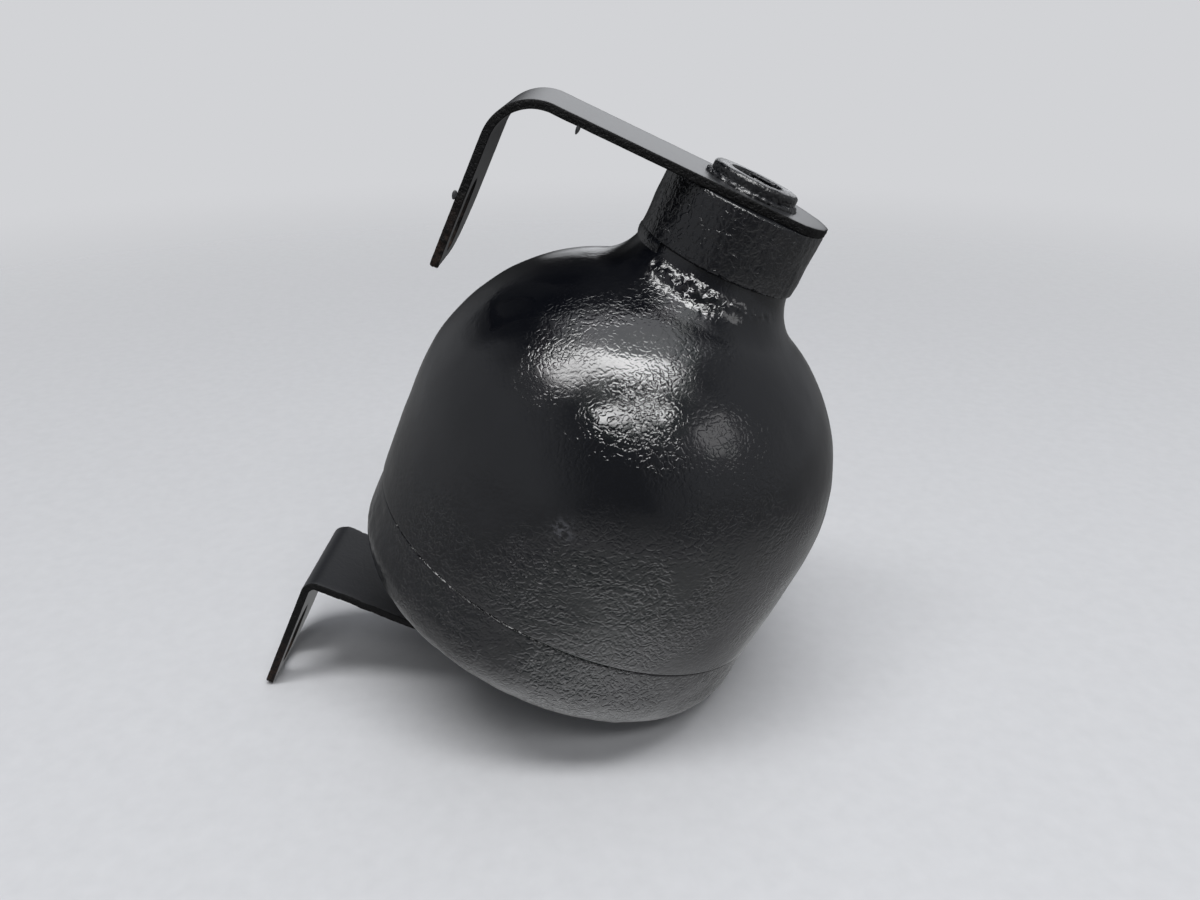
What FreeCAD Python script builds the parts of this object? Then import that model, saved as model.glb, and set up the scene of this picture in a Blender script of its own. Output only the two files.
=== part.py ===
"""Gas-charged suspension sphere with two mounting brackets.

Two pressed steel shells are welded at a seam and hold a rubber diaphragm between oil and gas.
The oil port is a turned boss on the neck of the upper shell, with a damper valve in its tail.
One L-shaped strap is fixed round the port, another under the lower shell, and their slotted
legs share one mounting plane.

Heights are measured from the seam, along the axis, in millimetres. Every body is then lowered
so that the origin is on the axis where the wall of the threaded port starts.
"""

import FreeCAD, Part
import Sketcher
import math
import os

SIZES = {
    # Outside of the upper shell
    "body_radius": 50.0,
    "seam_draw": 0.8,
    "waist_height": 26.0,
    "shoulder_radius": 43.9,
    "shell_wall": 5.0,
    "neck_radius": 17.2,
    "neck_fillet": 13.3,
    "neck_cut": 2.1,
    "neck_wall": 4.2,
    # Outside of the lower shell
    "cap_step": 0.3,
    "cap_wall": 4.5,
    "cap_straight": 9.3,
    "cap_knuckle": 11.5,
    "cap_depth": 28.5,
    "seam_chamfer": 0.4,
    "pad_radius": 12.0,
    "pad_thickness": 3.0,
    # Port boss
    "collar_overhang": 0.9,
    "collar_height": 14.4,
    "spigot_wall": 4.5,
    "spigot_proud": 3.0,
    "edge_chamfer": 0.6,
    "port_radius": 5.2,
    "port_depth": 14.0,
    "mouth_depth": 0.8,
    "passage_radius": 3.6,
    "tail_length": 9.0,
    "tail_wall": 2.4,
    "neck_weld_leg": 2.0,
    "neck_weld_start": 20.0,
    "neck_weld_angle": 200.0,
    # Damper valve in the tail of the boss
    "damper_height": 6.0,
    "damper_rim": 1.8,
    "damper_web": 3.0,
    "damper_hole_radius": 1.1,
    "damper_hole_circle": 5.6,
    "damper_hole_count": 6,
    "leaf_gap": 1.0,
    "leaf_thickness": 0.3,
    "leaf_washer_radius": 3.6,
    "leaf_washer_thickness": 0.5,
    "rivet_radius": 2.0,
    "rivet_head_radius": 3.2,
    "rivet_head_height": 0.6,
    "snap_ring_lip": 0.55,
    "snap_ring_height": 0.9,
    "snap_ring_depth": 0.7,
    "snap_ring_width": 2.0,
    "snap_ring_angle": 330.0,
    # Rings at the seam
    "ring_step": 1.4,
    "ring_below": 7.0,
    "ring_above": 4.0,
    "ring_wall": 2.4,
    "ring_foot": 1.5,
    "bead_height": 4.0,
    "clamp_height": 5.0,
    # Diaphragm and its button
    "diaphragm_gap": 4.4,
    "diaphragm_wall": 2.0,
    "button_radius": 9.5,
    "button_thickness": 2.5,
    "button_edge": 0.8,
    "button_stem": 2.0,
    "button_washer_radius": 7.0,
    "button_washer_thickness": 1.0,
    "button_rivet_radius": 3.2,
    "button_rivet_height": 0.8,
    # Brackets
    "sheet": 1.8,
    "bracket_width": 29.2,
    "wall_clearance": 5.4,
    "upper_leg": 40.0,
    "upper_bend": 11.0,
    "upper_end_overhang": 0.1,
    "lower_leg": 33.3,
    "lower_bend": 3.5,
    "lower_end_overhang": 0.1,
    "lower_hole_radius": 9.0,
    "leg_far_corner": 13.0,
    "leg_near_corner": 2.0,
    "slot_half_width": 4.25,
    "slot_length": 16.0,
    "slot_from_tip": 10.6,
    "slot_offset": 5.5,
    "upper_weld_leg": 0.9,
    "lower_weld_leg": 1.6,
    # Gas plug
    "plug_thread_radius": 3.3,
    "plug_shank_length": 5.0,
    "plug_head_radius": 6.5,
    "plug_head_height": 4.0,
    "plug_socket_radius": 2.9,
    "plug_socket_depth": 2.5,
    "seal_thickness": 1.0,
    # Clearances
    "fit_gap": 0.1,
    "thread_gap": 0.05,
}


class Length:
    """A size and the expression that gives it, so a sketch starts in place and stays bound."""

    def __init__(self, value, text):
        self.value = float(value)
        self.text = text

    def __add__(self, other):
        other = as_length(other)
        return Length(self.value + other.value, f"({self.text} + {other.text})")

    def __sub__(self, other):
        other = as_length(other)
        return Length(self.value - other.value, f"({self.text} - {other.text})")

    def __mul__(self, other):
        other = as_length(other)
        return Length(self.value * other.value, f"({self.text} * {other.text})")

    def __truediv__(self, other):
        other = as_length(other)
        return Length(self.value / other.value, f"({self.text} / {other.text})")

    def __neg__(self):
        return Length(-self.value, f"(0 - {self.text})")


def as_length(value):
    """Return the value as a Length, whether it is one already or a plain number."""
    if isinstance(value, Length):
        return value
    return Length(value, repr(value))


def root(length):
    """Square root of a Length."""
    return Length(math.sqrt(length.value), f"sqrt({length.text})")


ZERO = Length(0, "0")
LEFT = 1
RIGHT = -1

doc = FreeCAD.newDocument("suspension_sphere")
sheet = doc.addObject("Spreadsheet::Sheet", "Sizes")
size = {}


def add_row(name, content, value):
    """Add a named row to the sheet, and return it as a Length."""
    row = len(size) + 1
    sheet.set(f"A{row}", name)
    sheet.set(f"B{row}", content)
    sheet.setAlias(f"B{row}", name)
    size[name] = Length(value, f"Sizes.{name}")
    return size[name]


def derived(name, length):
    """Add a size that follows from others, as a formula in the sheet."""
    return add_row(name, "=" + length.text.replace("Sizes.", ""), length.value)


for size_name, number in SIZES.items():
    add_row(size_name, str(number), number)

# Radii that several pieces share, from the outside of each joint inwards
inside_radius = derived("inside_radius", size["body_radius"] - size["shell_wall"])
seam_radius = derived("seam_radius", size["body_radius"] - size["seam_draw"])
cap_radius = derived("cap_radius", seam_radius - size["cap_step"])
ring_radius = derived("ring_radius", inside_radius + size["ring_step"])
ring_bore = derived("ring_bore", ring_radius + size["fit_gap"])
ring_inside = derived("ring_inside", ring_radius - size["ring_wall"])
bead_radius = derived("bead_radius", ring_inside - size["fit_gap"])
diaphragm_radius = derived("diaphragm_radius", inside_radius - size["diaphragm_gap"])
shoulder_centre = derived("shoulder_centre", size["body_radius"] - size["shoulder_radius"])
inner_shoulder = derived("inner_shoulder", size["shoulder_radius"] - size["shell_wall"])
dome_radius = derived("dome_radius", inner_shoulder - size["diaphragm_gap"])
collar_radius = derived("collar_radius", size["neck_radius"] + size["collar_overhang"])
neck_bore = derived("neck_bore", size["neck_radius"] - size["neck_wall"])
tail_radius = derived("tail_radius", neck_bore - size["fit_gap"])
cavity_radius = derived("cavity_radius", tail_radius - size["tail_wall"])
damper_radius = derived("damper_radius", cavity_radius - size["fit_gap"])
spigot_radius = derived("spigot_radius", size["port_radius"] + size["spigot_wall"])
leg_distance = derived("leg_distance", size["body_radius"] + size["wall_clearance"])
half_width = derived("half_width", size["bracket_width"] / 2)

# Centre of the fillet between shoulder and neck
fillet_reach = derived("fillet_reach", size["shoulder_radius"] + size["neck_fillet"])
fillet_across = derived("fillet_across", size["neck_radius"] + size["neck_fillet"] - shoulder_centre)
fillet_rise = derived("fillet_rise", root(fillet_reach * fillet_reach - fillet_across * fillet_across))
fillet_height = derived("fillet_height", size["waist_height"] + fillet_rise)

# Heights that several pieces share
neck_top = derived("neck_top", fillet_height - size["neck_cut"])
collar_top = derived("collar_top", neck_top + size["collar_height"])
strap_top = derived("strap_top", collar_top + size["sheet"])
spigot_top = derived("spigot_top", strap_top + size["spigot_proud"])
wall_start = derived("wall_start", spigot_top - size["mouth_depth"])
tail_bottom = derived("tail_bottom", neck_top - size["tail_length"])
groove_height = derived("groove_height", size["snap_ring_height"] + size["thread_gap"])
damper_bottom = derived("damper_bottom", tail_bottom + size["snap_ring_lip"] + groove_height)
pad_face = derived("pad_face", -(size["cap_depth"] + size["pad_thickness"]))
doc.recompute()

sub_parts = []
cuts = []


def new_body(label, turn=None):
    """Add a body with its own label, lowered so that the port's wall starts at the origin."""
    body = doc.addObject("PartDesign::Body", label)
    body.Label = label
    body.setExpression("Placement.Base.z", (-wall_start).text)
    if turn is not None:
        body.setExpression("Placement.Rotation.Angle", turn.text)
    sub_parts.append(body)
    return body


def new_sketch(body, name, plane):
    """Add a sketch on one of the body's own origin planes."""
    sketch = body.newObject("Sketcher::SketchObject", f"{body.Name}_{name}")
    support = [f for f in body.Origin.OriginFeatures if f.Role == plane][0]
    sketch.AttachmentSupport = [(support, "")]
    sketch.MapMode = "FlatFace"
    return sketch


def bind(sketch, kind, where, length):
    """Add a constraint whose value follows the length's expression."""
    index = sketch.addConstraint(Sketcher.Constraint(kind, *where, length.value))
    sketch.renameConstraint(index, f"c{index}")
    sketch.setExpression(f"Constraints.c{index}", length.text)


def pin_point(sketch, edge, end, x, y):
    """Hold a point of an edge at x, y of the sketch."""
    origin = (-1, 1)
    for kind, length, axis in (("DistanceX", x, -2), ("DistanceY", y, -1)):
        if length is ZERO:
            sketch.addConstraint(Sketcher.Constraint("PointOnObject", edge, end, axis))
        else:
            bind(sketch, kind, (*origin, edge, end), length)


def arc_edge(start, end, radius, side):
    """Return the short arc from start to end, with its centre to the left or right."""
    half = (end - start) * 0.5
    across = FreeCAD.Vector(-half.y, half.x, 0) * side
    rise = math.sqrt(max(radius * radius - half.Length * half.Length, 0.0))
    centre = start + half + across * (rise / half.Length)
    first, last = (start, end) if side == LEFT else (end, start)
    angles = [math.atan2(p.y - centre.y, p.x - centre.x) for p in (first, last)]
    if angles[1] < angles[0]:
        angles[1] += 2 * math.pi
    circle = Part.Circle(centre, FreeCAD.Vector(0, 0, 1), radius)
    return Part.ArcOfCircle(circle, *angles)


def outline(sketch, corners):
    """Draw a closed outline.

    A corner is (x, y), reached by a straight line, or (x, y, radius, side), reached by an arc.
    """
    points = [FreeCAD.Vector(c[0].value, c[1].value, 0) for c in corners]
    ends = []
    for i, corner in enumerate(corners):
        start, end = points[i - 1], points[i]
        if len(corner) == 2:
            edge = sketch.addGeometry(Part.LineSegment(start, end))
            ends.append((edge, 1, 2))
            continue
        radius, side = corner[2], corner[3]
        edge = sketch.addGeometry(arc_edge(start, end, radius.value, side))
        ends.append((edge, 1, 2) if side == LEFT else (edge, 2, 1))
        bind(sketch, "Radius", (edge,), radius)
    for i, corner in enumerate(corners):
        edge, _, last = ends[i]
        following, first, _ = ends[(i + 1) % len(corners)]
        sketch.addConstraint(Sketcher.Constraint("Coincident", edge, last, following, first))
        pin_point(sketch, edge, last, corner[0], corner[1])


def circle(sketch, x, y, radius):
    """Draw a circle."""
    centre = FreeCAD.Vector(x.value, y.value, 0)
    edge = sketch.addGeometry(Part.Circle(centre, FreeCAD.Vector(0, 0, 1), radius.value))
    bind(sketch, "Radius", (edge,), radius)
    pin_point(sketch, edge, 3, x, y)


def turned(body, corners, angle=None):
    """Turn an outline of radii and heights about the axis, all the way round or by an angle."""
    sketch = new_sketch(body, "section", "XZ_Plane")
    outline(sketch, corners)
    feature = body.newObject("PartDesign::Revolution", f"{body.Name}_turned")
    feature.Profile = sketch
    feature.ReferenceAxis = (sketch, ["V_Axis"])
    feature.Angle = 360.0
    if angle is not None:
        feature.setExpression("Angle", angle.text)
    body.Tip = feature
    return feature


def cut_through(body, sketch, name):
    """Cut a sketch through the whole body, both ways from its plane."""
    before = body.Tip
    feature = body.newObject("PartDesign::Pocket", f"{body.Name}_{name}")
    feature.Profile = sketch
    feature.Type = "ThroughAll"
    feature.SideType = "Symmetric"
    body.Tip = feature
    cuts.append((before, feature))
    return feature


def ring(label, inner, outer, bottom, top, angle=None):
    """Add a plain ring between two radii and two heights."""
    body = new_body(label)
    turned(body, [(inner, bottom), (outer, bottom), (outer, top), (inner, top)], angle)
    return body


def neck_radius_at(height):
    """Radius of the neck's fillet at a height near its top."""
    fillet = size["neck_fillet"]
    above = fillet_height - height
    return size["neck_radius"] + fillet - root(fillet * fillet - above * above)


def upper_shell():
    """Pressed bell: slightly tapered side, round shoulder, and a neck with a fillet at its foot."""
    taper = size["seam_draw"]
    side_radius = (size["waist_height"] * size["waist_height"] + taper * taper) / (taper * 2)
    share = size["shoulder_radius"] / fillet_reach
    bore_across = neck_bore - shoulder_centre
    bore_foot = size["waist_height"] + root(inner_shoulder * inner_shoulder - bore_across * bore_across)
    turned(new_body("upper_shell"), [
        (ring_bore, ZERO),
        (seam_radius, ZERO),
        (size["body_radius"], size["waist_height"], side_radius, LEFT),
        (shoulder_centre + fillet_across * share, size["waist_height"] + fillet_rise * share,
         size["shoulder_radius"], LEFT),
        (neck_radius_at(neck_top), neck_top, size["neck_fillet"], RIGHT),
        (neck_bore, neck_top),
        (neck_bore, bore_foot),
        (inside_radius, size["waist_height"], inner_shoulder, RIGHT),
        (inside_radius, size["ring_above"]),
        (ring_bore, size["ring_above"]),
    ])


def lower_shell():
    """Dished cap: short straight rim, knuckle, shallow crown, and a flat pad at the pole."""
    run = cap_radius - size["cap_knuckle"]
    drop = size["cap_depth"] - size["cap_straight"]
    knuckle = size["cap_knuckle"]
    crown = (run * run + drop * drop - knuckle * knuckle) / ((drop - knuckle) * 2)
    crown_centre = crown - size["cap_depth"]
    reach = crown - knuckle
    fall = crown_centre + size["cap_straight"]
    wall = size["cap_wall"]
    outer_share = crown / reach
    inner_share = (crown - wall) / reach
    inside = cap_radius - wall
    inner_crown = crown - wall
    pad = size["pad_radius"]
    pad_foot = crown_centre - root(crown * crown - pad * pad)
    hole = size["plug_thread_radius"]
    hole_top = crown_centre - root(inner_crown * inner_crown - hole * hole)
    turned(new_body("lower_shell"), [
        (hole, pad_face),
        (pad, pad_face),
        (pad, pad_foot),
        (run * outer_share, crown_centre - fall * outer_share, crown, LEFT),
        (cap_radius, -size["cap_straight"], knuckle, LEFT),
        (cap_radius, -size["seam_chamfer"]),
        (cap_radius - size["seam_chamfer"], ZERO),
        (ring_bore, ZERO),
        (ring_bore, -size["ring_below"]),
        (inside, -size["ring_below"]),
        (inside, -size["cap_straight"]),
        (run * inner_share, crown_centre - fall * inner_share, knuckle - wall, RIGHT),
        (hole, hole_top, inner_crown, RIGHT),
    ])


def port_boss():
    """Turned adapter: tail in the neck, collar on it, spigot through the strap, threaded port."""
    cavity_top = damper_bottom + size["damper_height"]
    groove = cavity_radius + size["snap_ring_depth"]
    chamfer = size["edge_chamfer"]
    port_bottom = spigot_top - size["port_depth"]
    cone = size["port_radius"] - size["passage_radius"]
    turned(new_body("port_boss"), [
        (cavity_radius, tail_bottom),
        (tail_radius, tail_bottom),
        (tail_radius, neck_top),
        (collar_radius, neck_top),
        (collar_radius, collar_top - chamfer),
        (collar_radius - chamfer, collar_top),
        (spigot_radius, collar_top),
        (spigot_radius, spigot_top - chamfer),
        (spigot_radius - chamfer, spigot_top),
        (size["port_radius"] + size["mouth_depth"], spigot_top),
        (size["port_radius"], wall_start),
        (size["port_radius"], port_bottom),
        (size["passage_radius"], port_bottom - cone),
        (size["passage_radius"], cavity_top),
        (cavity_radius, cavity_top),
        (cavity_radius, damper_bottom),
        (groove, damper_bottom),
        (groove, damper_bottom - groove_height),
        (cavity_radius, damper_bottom - groove_height),
    ])


def weld_bead(label, wall, floor, leg):
    """Add a fillet weld round the axis, in the corner of a wall and a floor."""
    turned(new_body(label), [(wall, floor), (wall + leg, floor), (wall, floor + leg)])


def neck_weld():
    """Weld run that fills the step under the collar for most of its way round."""
    top = neck_top
    bottom = top - size["neck_weld_leg"]
    turned(new_body("neck_weld", size["neck_weld_start"]), [
        (neck_radius_at(bottom), bottom, size["neck_fillet"], LEFT),
        (collar_radius, top),
        (neck_radius_at(top), top),
    ], size["neck_weld_angle"])


def damper():
    """Valve body with oil passages, a leaf spring on each face, washers, rivet and snap ring."""
    hole = size["rivet_radius"] + size["thread_gap"]
    bottom, top = damper_bottom, damper_bottom + size["damper_height"]
    middle = damper_bottom + size["damper_height"] / 2
    web_bottom, web_top = middle - size["damper_web"] / 2, middle + size["damper_web"] / 2
    bowl = damper_radius - size["damper_rim"]
    leaf_radius = bowl - size["leaf_gap"]
    body = new_body("damper_body")
    turned(body, [
        (hole, web_bottom), (bowl, web_bottom), (bowl, bottom), (damper_radius, bottom),
        (damper_radius, top), (bowl, top), (bowl, web_top), (hole, web_top),
    ])
    passage = new_sketch(body, "passage", "XY_Plane")
    circle(passage, size["damper_hole_circle"], ZERO, size["damper_hole_radius"])
    drilled = cut_through(body, passage, "drilled")
    pattern = body.newObject("PartDesign::PolarPattern", "damper_body_passages")
    pattern.Originals = [drilled]
    pattern.Axis = (passage, ["N_Axis"])
    pattern.Angle = 360.0
    pattern.setExpression("Occurrences", size["damper_hole_count"].text)
    body.Tip = pattern
    cuts.append((drilled, pattern))

    leaf, washer = size["leaf_thickness"], size["leaf_washer_thickness"]
    ring("damper_upper_leaf", hole, leaf_radius, web_top, web_top + leaf)
    ring("damper_lower_leaf", hole, leaf_radius, web_bottom - leaf, web_bottom)
    ring("damper_upper_washer", hole, size["leaf_washer_radius"], web_top + leaf,
         web_top + leaf + washer)
    ring("damper_lower_washer", hole, size["leaf_washer_radius"], web_bottom - leaf - washer,
         web_bottom - leaf)

    low, high = web_bottom - leaf - washer, web_top + leaf + washer
    head, shank = size["rivet_head_radius"], size["rivet_radius"]
    turned(new_body("damper_rivet"), [
        (ZERO, low - size["rivet_head_height"]), (head, low - size["rivet_head_height"]),
        (head, low), (shank, low), (shank, high), (head, high),
        (head, high + size["rivet_head_height"]), (ZERO, high + size["rivet_head_height"]),
    ])

    outer = damper_radius + size["snap_ring_depth"]
    ring("damper_snap_ring", outer - size["snap_ring_width"], outer,
         damper_bottom - size["snap_ring_height"], damper_bottom, size["snap_ring_angle"])


def seam_rings():
    """Backing ring that bridges the seam, and the ring that clamps the diaphragm's bead in it."""
    bottom = -size["ring_below"]
    top = size["ring_above"] - size["fit_gap"]
    foot_top = bottom + size["ring_foot"]
    turned(new_body("backing_ring"), [
        (diaphragm_radius, bottom), (ring_radius, bottom), (ring_radius, top),
        (ring_inside, top), (ring_inside, foot_top), (diaphragm_radius, foot_top),
    ])
    bead_top = foot_top + size["bead_height"]
    ring("clamp_ring", diaphragm_radius + size["fit_gap"], bead_radius, bead_top,
         bead_top + size["clamp_height"])


def diaphragm():
    """Moulded rubber dome with a clamped bead, and the button riveted through its crown."""
    wall, waist = size["diaphragm_wall"], size["waist_height"]
    bead_bottom = size["ring_foot"] - size["ring_below"]
    bead_top = bead_bottom + size["bead_height"]
    inner_radius = dome_radius - wall
    across = size["button_radius"] - shoulder_centre
    crown = waist + root(dome_radius * dome_radius - across * across)
    under = waist + root(inner_radius * inner_radius - across * across)
    inside = diaphragm_radius - wall
    hole = size["button_stem"] + size["thread_gap"]
    turned(new_body("diaphragm"), [
        (inside, bead_bottom),
        (bead_radius, bead_bottom),
        (bead_radius, bead_top),
        (diaphragm_radius, bead_top),
        (diaphragm_radius, waist),
        (size["button_radius"], crown, dome_radius, LEFT),
        (hole, crown),
        (hole, under),
        (size["button_radius"], under),
        (inside, waist, inner_radius, RIGHT),
    ])
    washer_bottom = under - size["button_washer_thickness"]
    rivet_bottom = washer_bottom - size["button_rivet_height"]
    top = crown + size["button_thickness"]
    turned(new_body("diaphragm_button"), [
        (ZERO, rivet_bottom),
        (size["button_rivet_radius"], rivet_bottom),
        (size["button_rivet_radius"], washer_bottom),
        (size["button_stem"], washer_bottom),
        (size["button_stem"], crown),
        (size["button_radius"], crown),
        (size["button_radius"], top - size["button_edge"]),
        (size["button_radius"] - size["button_edge"], top),
        (ZERO, top),
    ])
    ring("button_washer", hole, size["button_washer_radius"], washer_bottom, under)


def bracket(label, top, leg, bend, end_radius, hole_radius):
    """L-shaped strap: bent sheet, round end over a hole, slotted leg with its corners rounded."""
    body = new_body(label)
    sheet_thickness = size["sheet"]
    outer_face = -leg_distance
    half = half_width
    tip = top - leg
    section = new_sketch(body, "section", "XZ_Plane")
    outline(section, [
        (outer_face, tip),
        (outer_face + sheet_thickness, tip),
        (outer_face + sheet_thickness, top - bend),
        (outer_face + bend, top - sheet_thickness, bend - sheet_thickness, RIGHT),
        (end_radius, top - sheet_thickness),
        (end_radius, top),
        (outer_face + bend, top),
        (outer_face, top - bend, bend, LEFT),
    ])
    pad = body.newObject("PartDesign::Pad", f"{label}_sheet")
    pad.Profile = section
    pad.SideType = "Symmetric"
    pad.setExpression("Length", size["bracket_width"].text)
    body.Tip = pad

    straight = root(end_radius * end_radius - half * half)
    clear = size["bracket_width"]
    rounding = new_sketch(body, "end", "XY_Plane")
    outline(rounding, [
        (straight, clear),
        (end_radius + half, clear),
        (end_radius + half, -clear),
        (straight, -clear),
        (straight, -half),
        (end_radius, ZERO, end_radius, LEFT),
        (straight, half, end_radius, LEFT),
    ])
    cut_through(body, rounding, "end_cut")

    port = new_sketch(body, "hole", "XY_Plane")
    circle(port, ZERO, ZERO, hole_radius)
    cut_through(body, port, "hole_cut")

    far, near = size["leg_far_corner"], size["leg_near_corner"]
    tip_sketch = new_sketch(body, "tip", "YZ_Plane")
    outline(tip_sketch, [
        (-clear, tip + near),
        (-clear, tip - far),
        (clear, tip - far),
        (clear, tip + far),
        (half, tip + far),
        (half - far, tip, far, RIGHT),
        (near - half, tip),
        (-half, tip + near, near, RIGHT),
    ])
    cut_through(body, tip_sketch, "tip_cut")

    middle = tip + size["slot_from_tip"]
    radius = size["slot_half_width"]
    reach = size["slot_length"] / 2 - radius
    centre = -size["slot_offset"]
    slot = new_sketch(body, "slot", "YZ_Plane")
    outline(slot, [
        (centre - radius, middle - reach),
        (centre, middle - reach - radius, radius, LEFT),
        (centre + radius, middle - reach, radius, LEFT),
        (centre + radius, middle + reach),
        (centre, middle + reach + radius, radius, LEFT),
        (centre - radius, middle + reach, radius, LEFT),
    ])
    cut_through(body, slot, "slot_cut")


def gas_plug():
    """Headed plug with a hexagon socket in the threaded pole of the cap, on a seal ring."""
    shank = size["plug_thread_radius"] - size["thread_gap"]
    head_top = pad_face - size["seal_thickness"]
    head_bottom = head_top - size["plug_head_height"]
    body = new_body("gas_plug")
    turned(body, [
        (ZERO, head_bottom),
        (size["plug_head_radius"] - size["edge_chamfer"], head_bottom),
        (size["plug_head_radius"], head_bottom + size["edge_chamfer"]),
        (size["plug_head_radius"], head_top),
        (shank, head_top),
        (shank, head_top + size["plug_shank_length"]),
        (ZERO, head_top + size["plug_shank_length"]),
    ])
    before = body.Tip
    socket = new_sketch(body, "socket", "XY_Plane")
    socket.setExpression("AttachmentOffset.Base.z", head_bottom.text)
    corner = size["plug_socket_radius"]
    angles = [math.radians(30 + 60 * i) for i in range(6)]
    outline(socket, [(corner * math.cos(a), corner * math.sin(a)) for a in angles])
    pocket = body.newObject("PartDesign::Pocket", "gas_plug_hexagon")
    pocket.Profile = socket
    pocket.setExpression("Length", size["plug_socket_depth"].text)
    pocket.Reversed = True
    body.Tip = pocket
    cuts.append((before, pocket))
    ring("gas_plug_seal", size["plug_thread_radius"] + size["fit_gap"], size["plug_head_radius"],
         head_top, pad_face)


def check_and_write():
    """Stop on a failed feature, a cut that took nothing away or a bad solid, then write the files."""
    doc.recompute()
    for item in doc.Objects:
        if "Invalid" in item.State or "Error" in item.State:
            raise RuntimeError(f"{item.Label} failed: {item.State}")
    for before, after in cuts:
        if after.Shape.Volume > before.Shape.Volume - 1e-3:
            raise RuntimeError(f"{after.Label} cuts nothing")
    for body in sub_parts:
        shape = body.Shape
        if shape.isNull() or not shape.isValid() or len(shape.Solids) != 1:
            raise RuntimeError(f"{body.Label} is not one valid solid")
    os.makedirs("parts", exist_ok=True)
    for body in sub_parts:
        body.Shape.exportStep(f"parts/{body.Label}.step")
        box = body.Shape.BoundBox
        print(f"{body.Label}: {body.Shape.Volume:.1f} mm3, z {box.ZMin:.2f} to {box.ZMax:.2f}")


upper_shell()
lower_shell()
port_boss()
neck_weld()
damper()
seam_rings()
diaphragm()
bracket("upper_bracket", strap_top, size["upper_leg"], size["upper_bend"],
        collar_radius + size["upper_end_overhang"], spigot_radius + size["fit_gap"])
weld_bead("upper_bracket_weld", spigot_radius, strap_top, size["upper_weld_leg"])
bracket("lower_bracket", pad_face, size["lower_leg"], size["lower_bend"],
        half_width + size["lower_end_overhang"], size["lower_hole_radius"])
weld_bead("lower_bracket_weld", size["pad_radius"], pad_face, size["lower_weld_leg"])
gas_plug()
check_and_write()
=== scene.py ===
# %% [markdown]
# # A suspension sphere, dressed for its picture
#
# A suspension sphere is the gas spring of a self-levelling car. Two pressed steel shells are welded
# together, oil comes in through the threaded port on the neck, and two bent straps bolt it to the car.
# This one has been rust-pitted, cleaned and sprayed black. The solids come from CAD. Here each visible
# piece gets a smooth new surface with its lumps, welds and sheared edges, and a material of its own.

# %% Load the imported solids
import math

import bpy
import numpy as np
from mathutils import Matrix, Vector


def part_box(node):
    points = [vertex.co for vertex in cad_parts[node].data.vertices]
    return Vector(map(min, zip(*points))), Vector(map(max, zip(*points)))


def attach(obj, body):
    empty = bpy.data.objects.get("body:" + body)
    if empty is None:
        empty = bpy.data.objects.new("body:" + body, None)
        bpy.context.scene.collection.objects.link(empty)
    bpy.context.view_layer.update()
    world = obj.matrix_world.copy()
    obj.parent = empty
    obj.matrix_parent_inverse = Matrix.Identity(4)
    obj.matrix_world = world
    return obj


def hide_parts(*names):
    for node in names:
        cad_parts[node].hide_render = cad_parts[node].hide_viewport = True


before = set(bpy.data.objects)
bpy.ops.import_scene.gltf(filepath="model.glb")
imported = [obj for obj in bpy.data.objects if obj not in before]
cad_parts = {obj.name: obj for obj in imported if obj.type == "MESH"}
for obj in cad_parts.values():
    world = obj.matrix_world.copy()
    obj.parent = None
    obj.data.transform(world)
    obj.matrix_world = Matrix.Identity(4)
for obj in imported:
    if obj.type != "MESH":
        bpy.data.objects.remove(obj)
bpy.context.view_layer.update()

# %% [markdown]
# ## Sizes
#
# Everything is worked out in millimetres, with heights measured from the seam between the two shells.
# The seam's place is read from the solid, so the new surfaces land on the old ones.

# %% Sizes of the real piece
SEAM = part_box("upper_shell")[0].z * 1000
BODY, SEAM_RADIUS, WAIST = 50.0, 49.2, 26.0
SHOULDER, SHOULDER_AT = 43.9, 6.1
NECK, FILLET, NECK_BORE, NECK_BORE_FOOT = 17.2, 13.3, 13.0, 64.5
FILLET_AT = NECK + FILLET
FILLET_HEIGHT = WAIST + math.sqrt((SHOULDER + FILLET) ** 2 - (FILLET_AT - SHOULDER_AT) ** 2)
NECK_TOP = FILLET_HEIGHT - 2.1
COLLAR, COLLAR_TOP = 18.1, NECK_TOP + 14.4
STRAP_TOP = COLLAR_TOP + 1.8
SPIGOT, SPIGOT_TOP = 9.7, STRAP_TOP + 3.0
CAP, CAP_STRAIGHT, KNUCKLE, CAP_DEPTH = 48.9, 9.3, 11.5, 28.5
PAD, PAD_FACE = 12.0, -31.5
BELL_WALL, CAP_WALL = 5.0, 4.5
RING_BORE, RING_TOP, RING_FOOT = 46.5, 4, -7
PLUG_HOLE, PLUG_HOLE_TOP = 3.3, -23.95
TAIL, TAIL_BORE, SNAP_GROOVE = 12.9, 10.5, 11.2
PORT, THROAT, PORT_DEPTH = 5.2, 3.6, 14
SLOT_RADIUS, SLOT_HALF, SLOT_SHIFT = 4.25, 3.75, 5.5
LEG_FACE, SHEET, WIDTH = 55.4, 1.8, 29.2
print("seam at", round(SEAM, 2), "mm, collar top", round(COLLAR_TOP, 2), "mm over it")

# %% [markdown]
# ## Turned shapes
#
# Shells, boss and weld beads are all surfaces of revolution. Their half section is drawn as a chain
# of lines and arcs, then swept about the axis. A plain sweep looks like plastic, so every point may
# also move along the section's normal: that is where pits, runs and weld ripples come from.

# %% Lines, arcs and random ripples
def line(start, end, steps):
    """Points on the straight line start + t * (end - start), for t from 0 up to, but without, 1."""
    share = np.linspace(0, 1, steps, endpoint=False)[:, None]
    return np.array(start) + share * (np.array(end) - np.array(start))


def arc(centre, radius, first, last, steps):
    """Points centre + radius * (cos a, sin a), for angles a from first up to, but without, last."""
    angle = np.radians(np.linspace(first, last, steps, endpoint=False))
    return np.array(centre) + radius * np.stack([np.cos(angle), np.sin(angle)], 1)


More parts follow.
